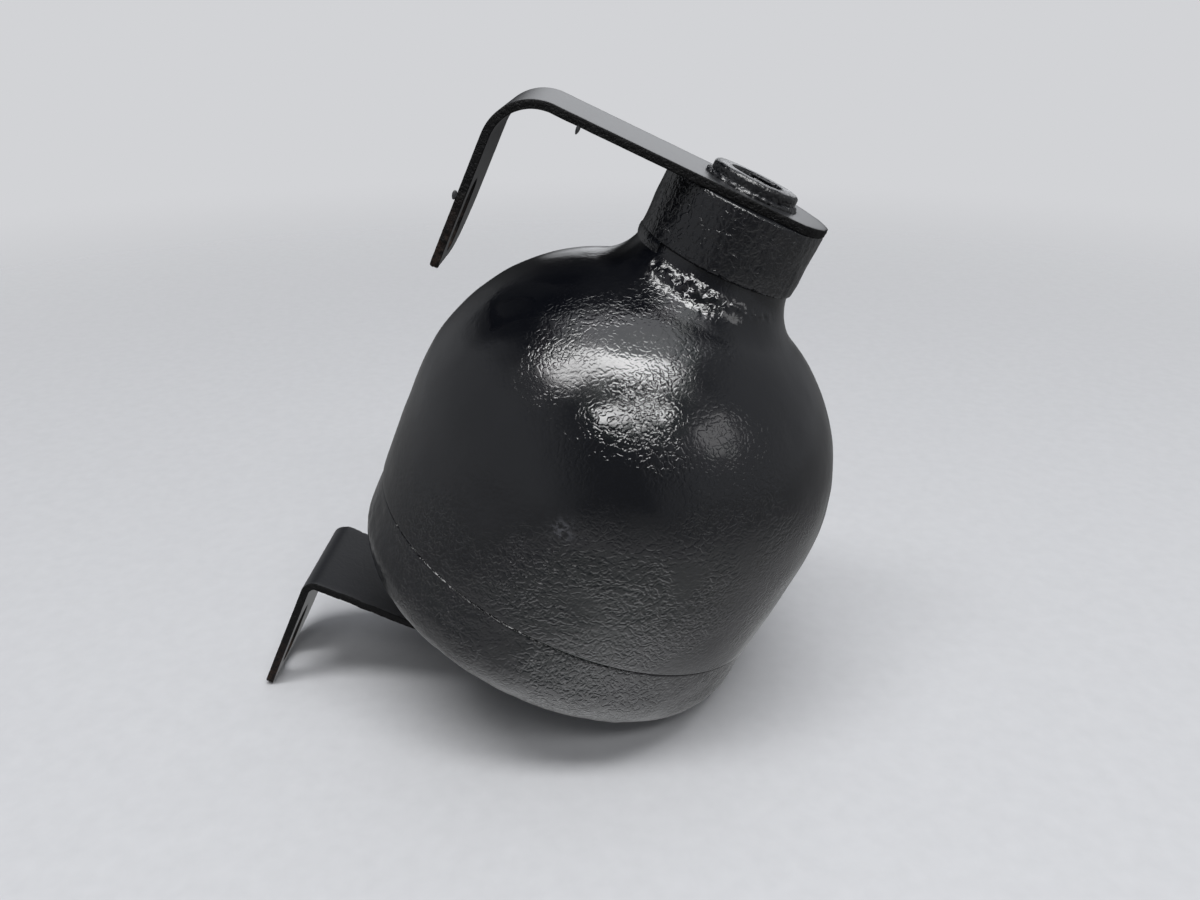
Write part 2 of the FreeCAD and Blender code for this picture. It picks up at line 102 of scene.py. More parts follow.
def ripples(points, spacing, seed, waves=40):
    """Random smooth height: the sum of plane waves sin(k . p + phase), scaled to a spread of 1.

    Each wave has its own heading and a length near the spacing, in the points' own millimetres.
    """
    dice = np.random.default_rng(seed)
    heading = dice.normal(size=(points.shape[-1], waves))
    heading /= np.linalg.norm(heading, axis=0)
    heading *= 2 * math.pi / (spacing * dice.uniform(0.7, 1.5, waves))
    return np.sin(points @ heading + dice.uniform(0, 2 * math.pi, waves)).sum(-1) * math.sqrt(2 / waves)


def hump(distance, width):
    """Bell curve exp(-(distance / width) squared): 1 in the middle, near 0 two widths away."""
    return np.exp(-(distance / width) ** 2)


print("ripple spread:", round(float(ripples(np.random.default_rng(0).uniform(0, 99, (999, 3)), 5, 1).std()), 2))

# %% From arrays to a mesh
def make_piece(name, points, faces, replaced, marks=None):
    """Puts points in mm and quads into a mesh, and seats the piece on the part's one body.

    marks holds numbers for each point, by name, that the materials read as attributes.
    """
    mesh = bpy.data.meshes.new(name)
    mesh.vertices.add(len(points))
    mesh.vertices.foreach_set("co", ((points + [0, 0, SEAM]) * 0.001).astype(np.float32).ravel())
    mesh.loops.add(faces.size)
    mesh.loops.foreach_set("vertex_index", faces.astype(np.int32).ravel())
    mesh.polygons.add(len(faces))
    mesh.polygons.foreach_set("loop_start", np.arange(len(faces), dtype=np.int32) * 4)
    for mark, values in (marks or {}).items():
        mesh.attributes.new(mark, "FLOAT", "POINT").data.foreach_set("value", values.astype(np.float32).ravel())
    mesh.update(calc_edges=True)
    mesh.validate()
    mesh.shade_smooth()
    mesh.set_sharp_from_angle(angle=math.radians(55))
    piece = bpy.data.objects.new(name, mesh)
    bpy.context.scene.collection.objects.link(piece)
    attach(piece, "root")
    if replaced:
        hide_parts(*replaced)
    print(f"{name}: {len(points)} points, {2 * len(faces)} triangles")
    return piece


def turn(section, around, shift=None, start=0.0, sweep=360.0):
    """Sweeps a closed half section about the axis: (r, h) becomes (r cos a, r sin a, h).

    shift(angle, radius, height, point) gives how far each point moves along the section's normal.
    The section runs up its outer side, so the faces point outwards. A part turn of a section with an
    even count of points gets a lid of quads at each end. Returns points, quads and angles.
    """
    full = sweep >= 360
    angle = np.radians(start + np.linspace(0, sweep, around, endpoint=not full))[:, None]
    ahead, behind = np.roll(section, -1, 0), np.roll(section, 1, 0)
    along = ahead - behind
    normal = np.stack([along[:, 1], -along[:, 0]], 1) / np.linalg.norm(along, axis=1)[:, None]
    radius, height = section[None, :, 0] + 0 * angle, section[None, :, 1] + 0 * angle
    if shift is not None:
        place = np.stack([radius * np.cos(angle), radius * np.sin(angle), height], -1)
        moved = shift(angle, radius, height, place)
        radius, height = radius + normal[:, 0] * moved, height + normal[:, 1] * moved
    points = np.stack([radius * np.cos(angle), radius * np.sin(angle), height], -1).reshape(-1, 3)
    rows, count = len(angle), len(section)
    j, i = np.meshgrid(np.arange(rows if full else rows - 1), np.arange(count), indexing="ij")
    j2, i2 = (j + 1) % rows, (i + 1) % count
    faces = np.stack([j * count + i, j2 * count + i, j2 * count + i2, j * count + i2], -1).reshape(-1, 4)
    if not full:
        k = np.arange(count // 2 - 1)
        lid = np.stack([k, k + 1, count - 2 - k, count - 1 - k], 1)
        faces = np.concatenate([faces, lid, lid[:, ::-1] + len(points) - count])
    return points, faces, angle


# %% [markdown]
# ## The bell
#
# The upper shell was pressed from plate: a barely tapered side, a round shoulder and a neck whose
# fillet runs up under the collar. Rust has pitted it and thick paint has half filled the pits, so the
# skin waves slowly over centimetres. Round the front of the neck a weld has left a lumpy bead, with a
# groove at its foot. The mask says how leathery the paint is, as it differs from place to place.

# %% Section and skin of the bell
side_radius = (WAIST ** 2 + (BODY - SEAM_RADIUS) ** 2) / (2 * (BODY - SEAM_RADIUS))
side_foot = math.degrees(math.asin(WAIST / side_radius))
meet = math.degrees(math.atan2(FILLET_HEIGHT - WAIST, FILLET_AT - SHOULDER_AT))
neck_end = 180 + math.degrees(math.asin(2.1 / FILLET))
LIP = 0.3
bell_outside = np.concatenate([
    arc((SEAM_RADIUS - LIP, LIP), LIP, -90, 0, 4),
    line((SEAM_RADIUS, LIP), (SEAM_RADIUS + 0.04, 0.9), 3),
    arc((BODY - side_radius, WAIST), side_radius, 0.9 / WAIST * side_foot - side_foot, 0, 42),
    arc((SHOULDER_AT, WAIST), SHOULDER, 0, meet, 80),
    arc((FILLET_AT, FILLET_HEIGHT), FILLET, 180 + meet, neck_end, 36),
])
bell_inside = np.concatenate([
    line((FILLET_AT + FILLET * math.cos(math.radians(neck_end)), NECK_TOP), (NECK_BORE, NECK_TOP), 4),
    line((NECK_BORE, NECK_TOP), (NECK_BORE, NECK_BORE_FOOT), 4),
    arc((SHOULDER_AT, WAIST), SHOULDER - BELL_WALL, 79.8, 0, 18),
    line((BODY - BELL_WALL, WAIST), (BODY - BELL_WALL, RING_TOP), 5),
    line((BODY - BELL_WALL, RING_TOP), (RING_BORE, RING_TOP), 1),
    line((RING_BORE, RING_TOP), (RING_BORE, 0), 2),
    line((RING_BORE, 0), (SEAM_RADIUS - LIP, 0), 4),
])


def turned_away(angle, centre):
    """Degrees between an angle in radians and a centre in degrees, from -180 to 180."""
    return (np.degrees(angle) - centre + 180) % 360 - 180


BEAD_AT, GROOVE_AT = 71.6, 68.9


def bell_skin(angle, radius, height, place):
    """Slow waves of 12 and 4 mm, a lumpy weld bead round the front of the neck, a groove at its foot."""
    outside = np.arange(radius.shape[1]) < len(bell_outside)
    slow = 0.035 * ripples(place, 12, 3) + 0.008 * ripples(place, 4, 4)
    front = hump(turned_away(angle, 250), 22) + 0.45 * hump(turned_away(angle, 296), 20)
    lumps = 0.5 + 0.22 * ripples(place, 2.4, 5) + 0.13 * ripples(place, 1.1, 6)
    groove = hump(height - GROOVE_AT, 1.2) * hump(turned_away(angle, 254), 32)
    groove = groove * (0.26 + 0.04 * ripples(place, 1.4, 7))
    free = np.clip((height - 0.2) / 1.2, 0, 1) * np.clip((NECK_TOP - height) / 2, 0, 1)
    return outside * (slow * free + hump(height - BEAD_AT, 1.05) * front * lumps - groove)


def peel_mask(angle, height):
    """How leathery the paint is: a base value plus bell curves over the patches seen on the real one."""
    patches = [  # middle in degrees and mm, half width in degrees and mm, amount
        (254, 61, 42, 14, 0.65), (250, 50, 34, 9, 0.3), (256, 64, 30, 6, 0.7),  # round the main gleam
        (262, 11, 42, 13, 2.4), (300, 22, 22, 20, 2.4), (269, 45, 8, 4, 0.6),  # low on the front
        (90, 50, 60, 18, 0.5), (150, 12, 50, 14, 0.5), (30, 30, 40, 16, 0.45),  # back and sides
    ]
    total = 0.22 + 0 * height * angle
    for at, up_to, wide, tall, amount in patches:
        total = total + amount * hump(turned_away(angle, at), wide) * hump(height - up_to, tall)
    return np.clip(total, 0, 2.6)


points, faces, angle = turn(np.concatenate([bell_outside, bell_inside]), 480, bell_skin)
heights = points[:, 2].reshape(len(angle), -1)
peel = peel_mask(angle, heights)
scuff = hump(turned_away(angle, 257.5), 2.6) * hump(heights - 25.5, 2.0)
bell = make_piece("bell", points, faces, ["upper_shell"], {"peel": peel, "scuff": scuff})

# %% [markdown]
# ## The cap
#
# The lower shell is a dished cap with a short straight rim. It sits 0.3 mm inside the bell's edge,
# which leaves the fine step that runs round the sphere, half filled with paint.

# %% Section and skin of the cap
run, drop = CAP - KNUCKLE, CAP_DEPTH - CAP_STRAIGHT
crown = (run ** 2 + drop ** 2 - KNUCKLE ** 2) / (2 * (drop - KNUCKLE))
crown_height = crown - CAP_DEPTH
tilt = math.degrees(math.atan2(crown_height + CAP_STRAIGHT, run))
pad_tilt = math.degrees(math.acos(PAD / crown))
cap_outside = np.concatenate([
    arc((0, crown_height), crown, -pad_tilt, -tilt, 40),
    arc((run, -CAP_STRAIGHT), KNUCKLE, -tilt, 0, 24),
    line((CAP, -CAP_STRAIGHT), (CAP, -0.7), 16),
    arc((CAP - 0.35, -0.7), 0.35, 0, 60, 3),
])
cap_inside = np.concatenate([
    line((CAP - 0.17, -0.4), (CAP - 0.45, 0), 2),
    line((CAP - 0.45, 0), (RING_BORE, 0), 2),
    line((RING_BORE, 0), (RING_BORE, RING_FOOT), 2),
    line((RING_BORE, RING_FOOT), (CAP - CAP_WALL, RING_FOOT), 1),
    line((CAP - CAP_WALL, RING_FOOT), (CAP - CAP_WALL, -CAP_STRAIGHT), 1),
    arc((run, -CAP_STRAIGHT), KNUCKLE - CAP_WALL, 0, -tilt, 6),
    arc((0, crown_height), crown - CAP_WALL, -tilt, -88.2, 14),
    line((PLUG_HOLE, PLUG_HOLE_TOP), (PLUG_HOLE, PAD_FACE), 4),
    line((PLUG_HOLE, PAD_FACE), (PAD, PAD_FACE), 6),
    line((PAD, PAD_FACE), (PAD, crown_height - math.sqrt(crown ** 2 - PAD ** 2)), 3),
])


def cap_skin(angle, radius, height, place):
    """Slow waves of 10 and 3.5 mm on the outside, fading out at the seam and at the pad."""
    outside = np.arange(radius.shape[1]) < len(cap_outside)
    waves = 0.05 * ripples(place, 10, 13) + 0.025 * ripples(place, 3.5, 14)
    return outside * waves * np.clip((-height - 0.7) / 2, 0, 1) * np.clip((radius - PAD) / 2, 0, 1)


points, faces, angle = turn(np.concatenate([cap_outside, cap_inside]), 480, cap_skin)
heights = points[:, 2].reshape(len(angle), -1)
leather = 1.1 + 1.7 * hump(turned_away(angle, 275), 60) + 0 * heights
cap = make_piece("cap", points, faces, ["lower_shell"], {"peel": leather, "scuff": 0 * heights})

# %% [markdown]
# ## The port boss
#
# A lathe made this one: a broad collar on the neck, a spigot that carries the strap, and an M12 thread
# of 1.5 mm pitch. The solid keeps the thread plain, as CAD libraries do. A picture wants the real
# helix, and on a turned surface that is only a radius that depends on height minus angle.

# %% Section, thread and skin of the boss
PITCH, THREAD_DEPTH = 1.5, 0.78
port_bottom = SPIGOT_TOP - PORT_DEPTH
tail_bottom = NECK_TOP - 9
damper_floor = tail_bottom + 1.5
damper_roof, groove_floor = damper_floor + 6, damper_floor - 0.95
boss_section = np.concatenate([
    line((TAIL_BORE, tail_bottom), (TAIL, tail_bottom), 2),
    line((TAIL, tail_bottom), (TAIL, NECK_TOP), 4),
    line((TAIL, NECK_TOP), (COLLAR - 0.7, NECK_TOP), 5),
    arc((COLLAR - 0.7, NECK_TOP + 0.7), 0.7, -90, 0, 5),
    line((COLLAR, NECK_TOP + 0.7), (COLLAR, COLLAR_TOP - 0.5), 22),
    arc((COLLAR - 0.5, COLLAR_TOP - 0.5), 0.5, 0, 90, 4),
    line((COLLAR - 0.5, COLLAR_TOP), (SPIGOT, COLLAR_TOP), 6),
    line((SPIGOT, COLLAR_TOP), (SPIGOT, SPIGOT_TOP - 0.75), 7),
    arc((SPIGOT - 0.75, SPIGOT_TOP - 0.75), 0.75, 0, 90, 5),
    line((SPIGOT - 0.75, SPIGOT_TOP), (6.25, SPIGOT_TOP), 5),
    arc((6.25, SPIGOT_TOP - 0.25), 0.25, 90, 135, 2),
    line((6.07, SPIGOT_TOP - 0.07), (PORT, SPIGOT_TOP - 0.8), 2),
    line((PORT, SPIGOT_TOP - 0.8), (PORT, port_bottom), 90),
    line((PORT, port_bottom), (THROAT, port_bottom - 1.6), 2),
    line((THROAT, port_bottom - 1.6), (THROAT, damper_roof), 4),
    line((THROAT, damper_roof), (TAIL_BORE, damper_roof), 4),
    line((TAIL_BORE, damper_roof), (TAIL_BORE, damper_floor), 3),
    line((TAIL_BORE, damper_floor), (SNAP_GROOVE, damper_floor), 1),
    line((SNAP_GROOVE, damper_floor), (SNAP_GROOVE, groove_floor), 1),
    line((SNAP_GROOVE, groove_floor), (TAIL_BORE, groove_floor), 1),
    line((TAIL_BORE, groove_floor), (TAIL_BORE, tail_bottom), 1),
])


def boss_skin(angle, radius, height, place):
    """Cuts a triangular helix into the bore, and gives the collar's side its runs of thick paint."""
    phase = (height / PITCH - angle / (2 * math.pi)) % 1
    bore = (radius < PORT + 0.05) & (height > port_bottom + 0.3) & (height < SPIGOT_TOP - 0.75)
    lead = np.clip((height - port_bottom) / PITCH, 0, 1)
    helix = -THREAD_DEPTH * (1 - np.abs(2 * phase - 1)) * lead
    streaks = ripples(place * [1, 1, 0.3], 2.0, 23) + 0.6 * ripples(place * [1, 1, 0.5], 1.1, 24)
    worn = 0.045 * ripples(place, 7, 21) + (0.01 + 0.04 * hump(turned_away(angle, 290), 42)) * streaks
    side = (radius > COLLAR - 0.75) & (height < COLLAR_TOP - 0.2) | (radius > SPIGOT - 0.8) & (height > STRAP_TOP)
    return np.where(bore, helix, np.where(side, worn, 0))


points, faces, _ = turn(boss_section, 420, boss_skin)
boss = make_piece("boss", points, faces, ["port_boss"])

# %% [markdown]
# ## Weld beads
#
# A weld bead is a string of small frozen puddles. Its section is swept round the axis like any turned
# shape, and a wave along the angle swells it once per puddle. The bead under the collar fills the step
# on the legs' side only, so it is a part turn with a lid on each end.

# %% Beads round the spigot, on the cap's pad and under the collar
def fillet_section(wall, floor, leg):
    """Corner of a wall at radius wall and a floor at height floor, bridged by a slightly full face."""
    t = np.linspace(0, 1, 9)[:, None]
    face = np.array([wall + leg, floor]) * (1 - t) + np.array([wall, floor + leg]) * t
    return np.concatenate([face + 0.2 * leg * np.sin(np.pi * t), [[wall, floor]]])


def puddles(length, size, seed):
    """Returns a skin: size * (abs(sin) along the arc, one hump per length in mm, plus small ripples)."""
    def skin(angle, radius, height, place):
        count = round(2 * math.pi * radius.mean() / length)
        humps = np.abs(np.sin(angle * count / 2)) - 0.6
        face = np.arange(radius.shape[1]) < radius.shape[1] - 1
        return face * size * (humps + 0.8 * ripples(place, 1.8, seed))
    return skin


points, faces, _ = turn(fillet_section(SPIGOT, STRAP_TOP, 0.95), 360, puddles(1.7, 0.13, 31))
spigot_bead = make_piece("spigot_bead", points, faces, ["upper_bracket_weld"])
points, faces, _ = turn(fillet_section(PAD, PAD_FACE, 1.6), 360, puddles(2.4, 0.2, 32))
pad_bead = make_piece("pad_bead", points, faces, ["lower_bracket_weld"])
step_section = np.array([
    (17.8, -2.5), (18.08, -1.9), (18.28, -1.2), (18.36, -0.5), (18.32, 0.1), (18.14, 0.6),
    (17.8, 0.5), (17.42, -0.02), (17.5, -1.2), (17.65, -2.2)]) + [0, NECK_TOP]


def step_skin(angle, radius, height, place):
    """Weld ripples on the outer face only, shrinking to nothing at both ends of the run."""
    ends = np.clip(np.minimum(angle - angle[0], angle[-1] - angle) * 3, 0, 1)
    return (radius > 17.85) * (ends * 0.03 * ripples(place, 5, 33) + 0.25 * (ends - 1))


points, faces, _ = turn(step_section, 220, step_skin, 20, 200)
collar_bead = make_piece("collar_bead", points, faces, ["neck_weld"])

# %% [markdown]
# ## The straps
#
# Each strap was sheared from 1.8 mm sheet, punched and bent. So it is worked out the same way: first
# the flat blank, then the bend. The blank is three patches that share their edges. A ring of points
# leads from the hole to the round end, a plain grid makes the straight stretch, and a second ring leads
# from the slot to the rounded tip. A distance formula for the outline says how far each ring reaches.

# %% Sizes and distances of a flat blank
class Blank:
    """Sizes of one strap, in its flat state: u runs from the round end to the tip, v across."""

    def __init__(self, top, leg, bend, end, hole):
        self.top, self.leg, self.bend, self.end, self.hole = top, leg, bend, end, hole
        self.bend_at = end + LEG_FACE - bend
        self.leg_at = self.bend_at + bend * math.pi / 2
        self.tip = self.leg_at + leg - bend
        self.slot = self.tip - 10.6

    def outline(self, u, v):
        """Signed distance to the blank's edge, negative inside: the largest of its sides' distances."""
        half, far, near = WIDTH / 2, 13.0, 2.0
        sides = np.maximum(np.abs(v) - half, u - self.tip)
        end = np.where(u < self.end, np.hypot(u - self.end, v) - self.end, -99)
        far_corner = np.hypot(np.maximum(u - self.tip + far, 0), np.maximum(v - half + far, 0)) - far
        near_corner = np.hypot(np.maximum(u - self.tip + near, 0), np.maximum(-v - half + near, 0)) - near
        far_corner = np.where((u > self.tip - far) & (v > half - far), far_corner, -99)
        near_corner = np.where((u > self.tip - near) & (v < near - half), near_corner, -99)
        return np.maximum.reduce([sides, end, far_corner, near_corner])

    def holes(self, u, v):
        """Distance outside the round hole and the slot, negative inside either."""
        slot = np.hypot(np.maximum(np.abs(u - self.slot) - SLOT_HALF, 0), v + SLOT_SHIFT) - SLOT_RADIUS
        return np.minimum(np.hypot(u - self.end, v) - self.hole, slot)

    def edge(self, u, v):
        """Distance to the nearest cut edge, outline or hole, negative in the metal."""
        return np.maximum(self.outline(u, v), -self.holes(u, v))

    def bent(self, flat, w):
        """Bends the blank: straight, a quarter turn, straight. w is the depth under the outer face."""
        u, v = flat[:, 0], flat[:, 1]
        turned = np.clip((u - self.bend_at) / self.bend, 0, math.pi / 2)
        x = -(np.minimum(u, self.bend_at) - self.end) - (self.bend - w) * np.sin(turned)
        z = self.top - self.bend + (self.bend - w) * np.cos(turned) - np.maximum(u - self.leg_at, 0)
        return np.stack([x, v, z], -1)


upper = Blank(STRAP_TOP, 40.0, 11.0, 18.2, SPIGOT + 0.1)
lower = Blank(PAD_FACE, 33.3, 3.5, 14.7, 9.0)
print("flat blanks:", round(upper.tip, 1), "and", round(lower.tip, 1), "mm long")

# %% Patches of the blank
def reach(inside, centre, angle):
    """Distance from a centre to where inside(u, v) stops holding, along each angle, by halving."""
    low, high = 0 * angle, 0 * angle + 60
    for _ in range(40):
        middle = (low + high) / 2
        held = inside(centre[0] + middle * np.cos(angle), centre[1] + middle * np.sin(angle))
        low, high = np.where(held, middle, low), np.where(held, high, middle)
    return low


def ring_patch(blank, centre, cut_u, cut_v, rings, steps):
    """Points centre + (inner + t * (outer - inner)) * direction, for angles that meet the cut exactly."""
    cut = np.unwrap(np.arctan2(cut_v - centre[1], cut_u - centre[0]))
    cut = cut if cut[-1] > cut[0] else cut[::-1]
    angle = np.concatenate([cut, np.linspace(cut[-1], cut[0] + 2 * math.pi, steps + 1)[1:-1]])
    side = np.sign(cut_u - centre[0])
    inner = reach(lambda u, v: blank.holes(u, v) < 0, centre, angle)
    outer = reach(lambda u, v: (blank.outline(u, v) < 0) & ((cut_u - u) * side > 0), centre, angle)
    outer[:len(cut)] = (cut_u - centre[0]) / np.cos(cut)
    t = (1 - np.cos(np.linspace(0, math.pi, rings))) / 2
    distance = inner + (outer - inner) * t[:, None]
    u, v = centre[0] + distance * np.cos(angle), centre[1] + distance * np.sin(angle)
    i, j = np.meshgrid(np.arange(rings - 1), np.arange(len(angle)), indexing="ij")
    j2, n = (j + 1) % len(angle), len(angle)
    quads = np.stack([i * n + j, (i + 1) * n + j, (i + 1) * n + j2, i * n + j2], -1)
    return np.stack([u.ravel(), v.ravel()], 1), quads.reshape(-1, 4)


def grid_patch(us, vs):
    """Plain grid of points over the given rows and columns."""
    u, v = np.meshgrid(us, vs, indexing="ij")
    i, j = np.meshgrid(np.arange(len(us) - 1), np.arange(len(vs) - 1), indexing="ij")
    n = len(vs)
    quads = np.stack([i * n + j, (i + 1) * n + j, (i + 1) * n + j + 1, i * n + j + 1], -1)
    return np.stack([u.ravel(), v.ravel()], 1), quads.reshape(-1, 4)


def flat_mesh(blank):
    """Joins ring, grid and ring into one mesh: points that fall together become one."""
    even = np.linspace(-0.5, 0.5, 43)
    across = WIDTH * (0.6 * even + 0.2 * np.sin(math.pi * even))
    cut_a, cut_b = blank.end + 16, blank.slot - 11
    rows = np.linspace(cut_a, cut_b, int((cut_b - cut_a) / 0.6))
    a, faces_a = ring_patch(blank, (blank.end, 0.0), cut_a, across, 13, 120)
    b, faces_b = grid_patch(rows, across)
    c, faces_c = ring_patch(blank, (blank.slot, -SLOT_SHIFT), cut_b, across, 13, 120)
    flat = np.concatenate([a, b, c])
    quads = np.concatenate([faces_a, faces_b + len(a), faces_c + len(a) + len(b)])
    _, first, same = np.unique(np.round(flat * 1000 + 0.137).astype(np.int64), axis=0, return_index=True,
                               return_inverse=True)
    return flat[first], same.ravel()[quads]


for blank in (upper, lower):
    print("blank mesh:", [len(a) for a in flat_mesh(blank)], "points and quads")

# %% From blank to bent sheet
ROUND = 0.22  # paint rounds every cut edge to about this radius in mm
WALL = [(0.0, 1.0), (0.06, 0.3), (0.22, 0.0), (0.6, -0.1), (1.0, 0.0), (1.35, 0.15), (1.58, 0.0),
        (1.74, 0.3), (SHEET, 1.0)]  # depth under the outer face in mm, and inset as a share of ROUND


def strap(name, blank, replaced, seed):
    """Gives the flat mesh two faces and rough walls between them, and bends the lot.

    A wall row at depth w stands ROUND * inset inside the outline. Torn rows also waver outwards.
    """
    flat, quads = flat_mesh(blank)
    u, v, step = flat[:, 0], flat[:, 1], 0.02
    edge = blank.edge(u, v)
    outward = np.stack([blank.edge(u + step, v) - blank.edge(u - step, v),
                        blank.edge(u, v + step) - blank.edge(u, v - step)], 1)
    outward /= np.maximum(np.linalg.norm(outward, axis=1), 1e-6)[:, None]
    sheared = blank.outline(u, v)
    waver = 0.07 * ripples(flat, 5, seed) + 0.05 * ripples(flat, 1.8, seed + 1)
    flat = flat + outward * (waver * np.exp(sheared / 0.8))[:, None]

    edges = np.concatenate([quads[:, [0, 1]], quads[:, [1, 2]], quads[:, [2, 3]], quads[:, [3, 0]]])
    count = len(flat)
    border = edges[~np.isin(edges[:, 0] * count + edges[:, 1], edges[:, 1] * count + edges[:, 0])]
    ids = np.unique(border)
    place_in_row = np.zeros(count, int)
    place_in_row[ids] = np.arange(len(ids))
    face = flat - outward * ROUND * np.exp(edge / 0.5)[:, None]
    layers = [blank.bent(face, 0.0)]
    for depth, inset in WALL[1:-1]:
        torn = 0.05 * ripples(np.column_stack([flat[ids], 0 * ids + 9 * depth]), 1.3, seed + 2)
        torn = torn * (sheared[ids] > -0.01) * (0.22 < depth < 1.5)
        layers.append(blank.bent(flat[ids] + outward[ids] * (torn - ROUND * inset)[:, None], depth))
    layers.append(blank.bent(face, SHEET))
    start = np.cumsum([0] + [len(layer) for layer in layers])
    at = [border if k in (0, len(WALL) - 1) else place_in_row[border] for k in range(len(WALL))]
    at = [row + start[k] for k, row in enumerate(at)]
    walls = [np.stack([a[:, 0], a[:, 1], b[:, 1], b[:, 0]], 1) for a, b in zip(at, at[1:])]
    faces = np.concatenate([quads[:, ::-1], quads + start[-2], *walls])
    along = np.clip((u - blank.leg_at) / (blank.tip - blank.leg_at), 0, 1)
    rim = np.exp(edge / 0.5)
    marks = {"edge": [rim] + [1 + 0 * ids] * (len(WALL) - 2) + [rim],
             "down": [along] + [along[ids]] * (len(WALL) - 2) + [along]}
    marks = {mark: np.concatenate(rows) for mark, rows in marks.items()}
    piece = make_piece(name, np.concatenate(layers), faces, replaced, marks)
    wall = (np.arange(len(faces)) >= 2 * len(quads)).astype(np.int32)
    piece.data.polygons.foreach_set("material_index", wall)
    return piece


upper_strap = strap("upper_strap", upper, ["upper_bracket"], 41)
lower_strap = strap("lower_strap", lower, ["lower_bracket"], 51)

# %% [markdown]
# ## Small blobs of paint
#
# Spray paint gathers on sharp corners: one nib sits on the outer corner of the upper leg, and one
# drip hangs from the strap's lower edge. Each is a stretched ball with a small lid on each pole.

# %% Nib and drip
def blob(name, centre, size, rows=14, n=24):
    """Closed ball: centre + size * (sin p cos a, sin p sin a, cos p), wavered by ripples."""
    p, a = np.linspace(0.12, math.pi - 0.12, rows)[:, None], np.linspace(0, 2 * math.pi, n, endpoint=False)
    ball = np.stack([np.sin(p) * np.cos(a), np.sin(p) * np.sin(a), np.cos(p) + 0 * a], -1).reshape(-1, 3)
    ball = ball * (1 + 0.12 * ripples(ball, 1.6, 61))[:, None] * size + centre
    i, j = np.meshgrid(np.arange(rows - 1), np.arange(n), indexing="ij")
    j2 = (j + 1) % n
    faces = np.stack([i * n + j, (i + 1) * n + j, (i + 1) * n + j2, i * n + j2], -1).reshape(-1, 4)
    k = np.arange(n // 2 - 1)
    lid = np.stack([k, k + 1, n - 2 - k, n - 1 - k], 1)
    faces = np.concatenate([faces, lid, lid[:, ::-1] + (rows - 1) * n])
    return make_piece(name, ball, faces, [], {"edge": np.ones(len(ball)), "down": 0 * ball[:, 0]})


nib = blob("paint_nib", (-55.7, -14.4, 67.6), (0.6, 0.7, 0.85))
drip = blob("paint_drip", (-38.4, -14.2, 89.5), (0.45, 0.45, 0.9))

# %% [markdown]
# ## Camera
#
# The camera stands where the photograph was taken, a hand's breadth above the piece. Its turn is
# written as three directions: what points right in the picture, what points up, and what points back.

# %% Camera
right = Vector((0.90871, 0.03794, 0.41569))
up = Vector((-0.39431, 0.40479, 0.82502))
camera_data = bpy.data.cameras.new("camera")
SENSOR, FOCAL, PICTURE_WIDTH = 36.0, 1018, 1200  # sensor in mm, the other two in the picture's pixels
camera_data.sensor_width, camera_data.lens = SENSOR, FOCAL / PICTURE_WIDTH * SENSOR
camera_data.clip_start = 0.01
camera = bpy.data.objects.new("camera", camera_data)
camera.matrix_world = Matrix((right, up, right.cross(up))).transposed().to_4x4()
camera.location = (-0.03702, -0.22061, 0.021695)
bpy.context.scene.collection.objects.link(camera)
bpy.context.scene.camera = camera
print("lens", round(camera_data.lens, 2), "mm")

# %% [markdown]
# ## Materials
#
# A material is a small network of nodes. One helper adds a node, sets it and links it. Colours are
# written as sRGB hex, as a painter reads them off a chart, and turned to the linear light values that
# a renderer adds up. Every pattern's scale is a real spacing in millimetres.

# %% Helpers for materials
def linear(hex_colour):
    """sRGB hex to linear RGBA: c / 12.92 in the dark, ((c + 0.055) / 1.055) ** 2.4 above."""
    c = np.array([int(hex_colour[i:i + 2], 16) / 255 for i in (1, 3, 5)])
    return (*np.where(c <= 0.04045, c / 12.92, ((c + 0.055) / 1.055) ** 2.4).tolist(), 1.0)


def add(tree, kind, inputs=None, **settings):
    """Adds one node. Settings are its properties; inputs are numbers, colours or other nodes' sockets."""
    node = tree.nodes.new("ShaderNode" + kind)
    for name, value in settings.items():
        setattr(node, name, value)
    for name, value in (inputs or {}).items():
        if isinstance(value, bpy.types.NodeSocket):
            tree.links.new(value, node.inputs[name])
        else:
            node.inputs[name].default_value = value
    return node


def per_mm(spacing):
    """Texture scale that gives a spacing in mm: object coordinates are metres, so 1000 / spacing."""
    return 1000.0 / spacing


def begin(name, **shader_inputs):
    """A new material with a Principled shader; returns material, tree, shader and object coordinates."""
    material = bpy.data.materials.new(name)
    material.use_nodes = True
    tree = material.node_tree
    tree.nodes.clear()
    shader = add(tree, "BsdfPrincipled", {key.replace("_", " "): value for key, value in shader_inputs.items()})
    add(tree, "OutputMaterial", {"Surface": shader.outputs[0]})
    return material, tree, shader, add(tree, "TexCoord").outputs["Object"]


print("mid grey is", [round(x, 3) for x in linear("#808080")])

# %% [markdown]
# ## Black spray enamel
#
# The whole piece was sprayed with gloss black enamel. It is black with a breath of blue, glossy where
# it flowed out, and leathery where it went on thick over pitted steel: flat islands with narrow creases
# about 1.4 mm apart. A noise crosses its middle value along winding lines, and those lines are the
# creases. Fine orange peel lies over them, so the highlight is broken and sparkles. Boss and welds are
# the same paint over other skins. Real enamel has an IOR near 1.5. Here it is set to 1.8, because the
# lamps stand at a plain level, and the real ones that gave this gleam were stronger.

